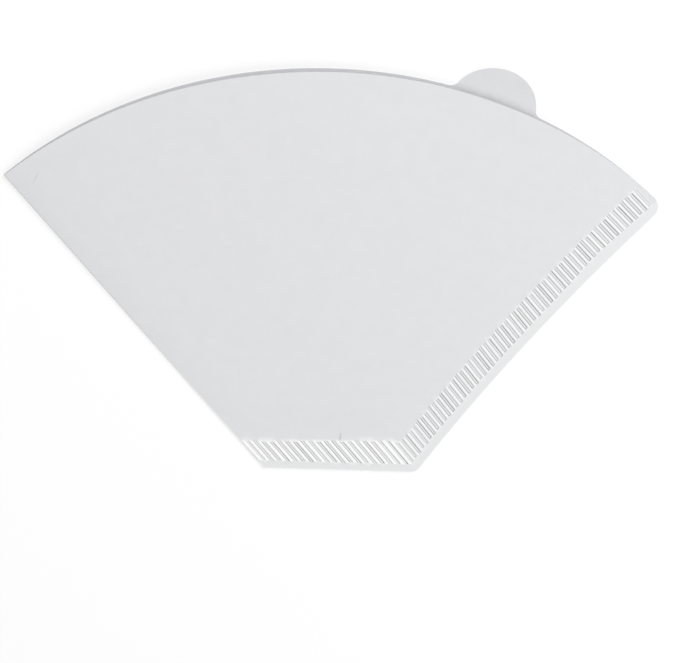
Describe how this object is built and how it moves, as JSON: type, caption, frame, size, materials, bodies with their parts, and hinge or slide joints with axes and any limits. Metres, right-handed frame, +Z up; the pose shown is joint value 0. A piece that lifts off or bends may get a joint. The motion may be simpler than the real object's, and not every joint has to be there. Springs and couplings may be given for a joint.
{
  "type": "paper coffee filter",
  "caption": "Flat folded cone filter of white paper, crimped along one side and the bottom, with a half-round tab at the open mouth.",
  "frame": {"origin": "on the surface that the flat filter lies on, under the middle of its outline", "axes": "+X from the folded side to the crimped side, +Y from the narrow bottom to the open mouth, +Z up out of the sheet"},
  "size_m": [0.1794, 0.1298, 0.0025],
  "materials": {
    "filter_paper": "matt, bleached, finely creped"
  },
  "bodies": {
    "root": {"paper_filter": "filter_paper"}
  },
  "joints": []
}
